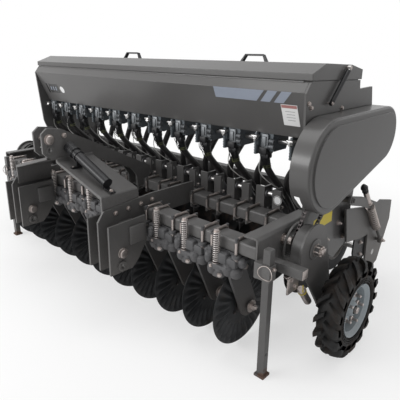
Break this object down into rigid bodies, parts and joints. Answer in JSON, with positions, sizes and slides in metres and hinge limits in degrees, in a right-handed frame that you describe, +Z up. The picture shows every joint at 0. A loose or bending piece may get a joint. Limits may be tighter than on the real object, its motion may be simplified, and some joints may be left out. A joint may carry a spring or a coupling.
{
  "type": "seed drill",
  "caption": "Tractor-mounted no-till seed drill: hinged-lid seed box over two toolbars with rolling coulters, disc openers, press wheels and a chain drive.",
  "frame": {"origin": "on the ground, midway across the frame and midway along the machine", "axes": "+X to the right seen from the front, where the chain cover is; -Y to the front, where the tractor couples; +Z up"},
  "size_m": [2.48, 1.406, 1.137],
  "materials": {
    "frame_paint": "semi-gloss graphite grey paint",
    "body_paint": "semi-gloss graphite grey paint on sheet",
    "disc_steel": "near-black coated disc steel",
    "zinc": "zinc plated",
    "bright_steel": "ground steel",
    "black_plastic": "black plastic",
    "black_metal": "black painted metal",
    "hose": "black hose",
    "tyre": "dusty tyre rubber",
    "rim_paint": "light blue-grey",
    "cast": "painted casting"
  },
  "bodies": {
    "frame": {"front_toolbar": "frame_paint", "rear_toolbar": "frame_paint", "side_beam_right": "frame_paint", "side_beam_left": "frame_paint", "end_plate_right": "body_paint", "end_plate_left": "body_paint", "hitch_bracket_right": "frame_paint", "hitch_bracket_left": "frame_paint", "hitch_mast": "frame_paint", "hitch_pins": "zinc", "document_canister": "black_plastic", "hopper": "body_paint", "strut_studs": "zinc", "seed_meters": "black_plastic", "meter_shaft": "bright_steel", "seed_tubes": "hose", "rear_tubes": "hose", "rear_crossbar": "frame_paint", "coulter_clamps": "cast", "coulter_arms": "cast", "coulter_springs": "zinc", "row_clamps": "frame_paint", "row_arms": "cast", "opener_discs": "disc_steel", "rear_arm_right": "frame_paint", "rear_arm_left": "frame_paint", "depth_adjusters": "zinc", "chain_cover": "body_paint", "drive_chain": "black_metal", "wheel_arm_right": "frame_paint", "wheel_arm_left": "frame_paint", "stand_sleeves": "frame_paint"},
    "lid": {"hopper_lid": "body_paint", "lid_handles": "black_plastic", "lid_studs": "zinc"},
    "press_gang": {"press_wheels": "tyre", "press_axle": "bright_steel"},
    "wheel_right": {"tyre_right": "tyre", "rim_right": "rim_paint"},
    "wheel_left": {"tyre_left": "tyre", "rim_left": "rim_paint"},
    "stand_right": {"stand_leg_right": "frame_paint"},
    "stand_left": {"stand_leg_left": "frame_paint"},
    "barrel_right": {"strut_barrel_right": "black_metal"},
    "rod_right": {"strut_rod_right": "bright_steel"},
    "barrel_left": {"strut_barrel_left": "black_metal"},
    "rod_left": {"strut_rod_left": "bright_steel"},
    "disc_01": {"coulter_disc_01": "disc_steel"},
    "disc_02": {"coulter_disc_02": "disc_steel"},
    "disc_03": {"coulter_disc_03": "disc_steel"},
    "disc_04": {"coulter_disc_04": "disc_steel"},
    "disc_05": {"coulter_disc_05": "disc_steel"},
    "disc_06": {"coulter_disc_06": "disc_steel"},
    "disc_07": {"coulter_disc_07": "disc_steel"},
    "disc_08": {"coulter_disc_08": "disc_steel"},
    "disc_09": {"coulter_disc_09": "disc_steel"},
    "disc_10": {"coulter_disc_10": "disc_steel"},
    "disc_11": {"coulter_disc_11": "disc_steel"}
  },
  "joints": [
    {"name": "lid_hinge", "type": "hinge", "parent": "frame", "child": "lid", "pos_m": [0, -0.19, 1.05], "axis": [1, 0, 0], "range_deg": [0, 55]},
    {"name": "strut_swing_right", "type": "hinge", "parent": "frame", "child": "barrel_right", "pos_m": [1.018, -0.059, 0.97], "axis": [1, 0, 0], "range_deg": [0, 52]},
    {"name": "strut_slide_right", "type": "slide", "parent": "barrel_right", "child": "rod_right", "axis": [0, 0.7042, 0.71], "range_m": [0, 0.145]},
    {"name": "strut_swing_left", "type": "hinge", "parent": "frame", "child": "barrel_left", "pos_m": [-0.918, -0.059, 0.97], "axis": [1, 0, 0], "range_deg": [0, 52]},
    {"name": "strut_slide_left", "type": "slide", "parent": "barrel_left", "child": "rod_left", "axis": [0, 0.7042, 0.71], "range_m": [0, 0.145]},
    {"name": "coulter_spin_01", "type": "hinge", "parent": "frame", "child": "disc_01", "pos_m": [0.8505, -0.33, 0.182], "axis": [1, 0, 0], "continuous": true},
    {"name": "coulter_spin_02", "type": "hinge", "parent": "frame", "child": "disc_02", "pos_m": [0.6854, -0.33, 0.182], "axis": [1, 0, 0], "continuous": true},
    {"name": "coulter_spin_03", "type": "hinge", "parent": "frame", "child": "disc_03", "pos_m": [0.5203, -0.33, 0.182], "axis": [1, 0, 0], "continuous": true},
    {"name": "coulter_spin_04", "type": "hinge", "parent": "frame", "child": "disc_04", "pos_m": [0.3552, -0.33, 0.182], "axis": [1, 0, 0], "continuous": true},
    {"name": "coulter_spin_05", "type": "hinge", "parent": "frame", "child": "disc_05", "pos_m": [0.1901, -0.33, 0.182], "axis": [1, 0, 0], "continuous": true},
    {"name": "coulter_spin_06", "type": "hinge", "parent": "frame", "child": "disc_06", "pos_m": [0.025, -0.33, 0.182], "axis": [1, 0, 0], "continuous": true},
    {"name": "coulter_spin_07", "type": "hinge", "parent": "frame", "child": "disc_07", "pos_m": [-0.1401, -0.33, 0.182], "axis": [1, 0, 0], "continuous": true},
    {"name": "coulter_spin_08", "type": "hinge", "parent": "frame", "child": "disc_08", "pos_m": [-0.3052, -0.33, 0.182], "axis": [1, 0, 0], "continuous": true},
    {"name": "coulter_spin_09", "type": "hinge", "parent": "frame", "child": "disc_09", "pos_m": [-0.4703, -0.33, 0.182], "axis": [1, 0, 0], "continuous": true},
    {"name": "coulter_spin_10", "type": "hinge", "parent": "frame", "child": "disc_10", "pos_m": [-0.6354, -0.33, 0.182], "axis": [1, 0, 0], "continuous": true},
    {"name": "coulter_spin_11", "type": "hinge", "parent": "frame", "child": "disc_11", "pos_m": [-0.8005, -0.33, 0.182], "axis": [1, 0, 0], "continuous": true},
    {"name": "press_gang_spin", "type": "hinge", "parent": "frame", "child": "press_gang", "pos_m": [0, 0.524, 0.172], "axis": [1, 0, 0], "continuous": true},
    {"name": "wheel_spin_right", "type": "hinge", "parent": "frame", "child": "wheel_right", "pos_m": [1.1915, -0.102, 0.204], "axis": [1, 0, 0], "continuous": true},
    {"name": "wheel_spin_left", "type": "hinge", "parent": "frame", "child": "wheel_left", "pos_m": [-1.1915, -0.102, 0.204], "axis": [1, 0, 0], "continuous": true},
    {"name": "stand_slide_right", "type": "slide", "parent": "frame", "child": "stand_right", "axis": [0, 0, 1], "range_m": [0, 0.35]},
    {"name": "stand_slide_left", "type": "slide", "parent": "frame", "child": "stand_left", "axis": [0, 0, 1], "range_m": [0, 0.35]}
  ],
  "couplings": [
    {"joint": "strut_swing_right", "follows": "lid_hinge", "ratio": 0.9166},
    {"joint": "strut_slide_right", "follows": "lid_hinge", "m_per_rad": 0.1475},
    {"joint": "strut_swing_left", "follows": "lid_hinge", "ratio": 0.9166},
    {"joint": "strut_slide_left", "follows": "lid_hinge", "m_per_rad": 0.1475}
  ]
}
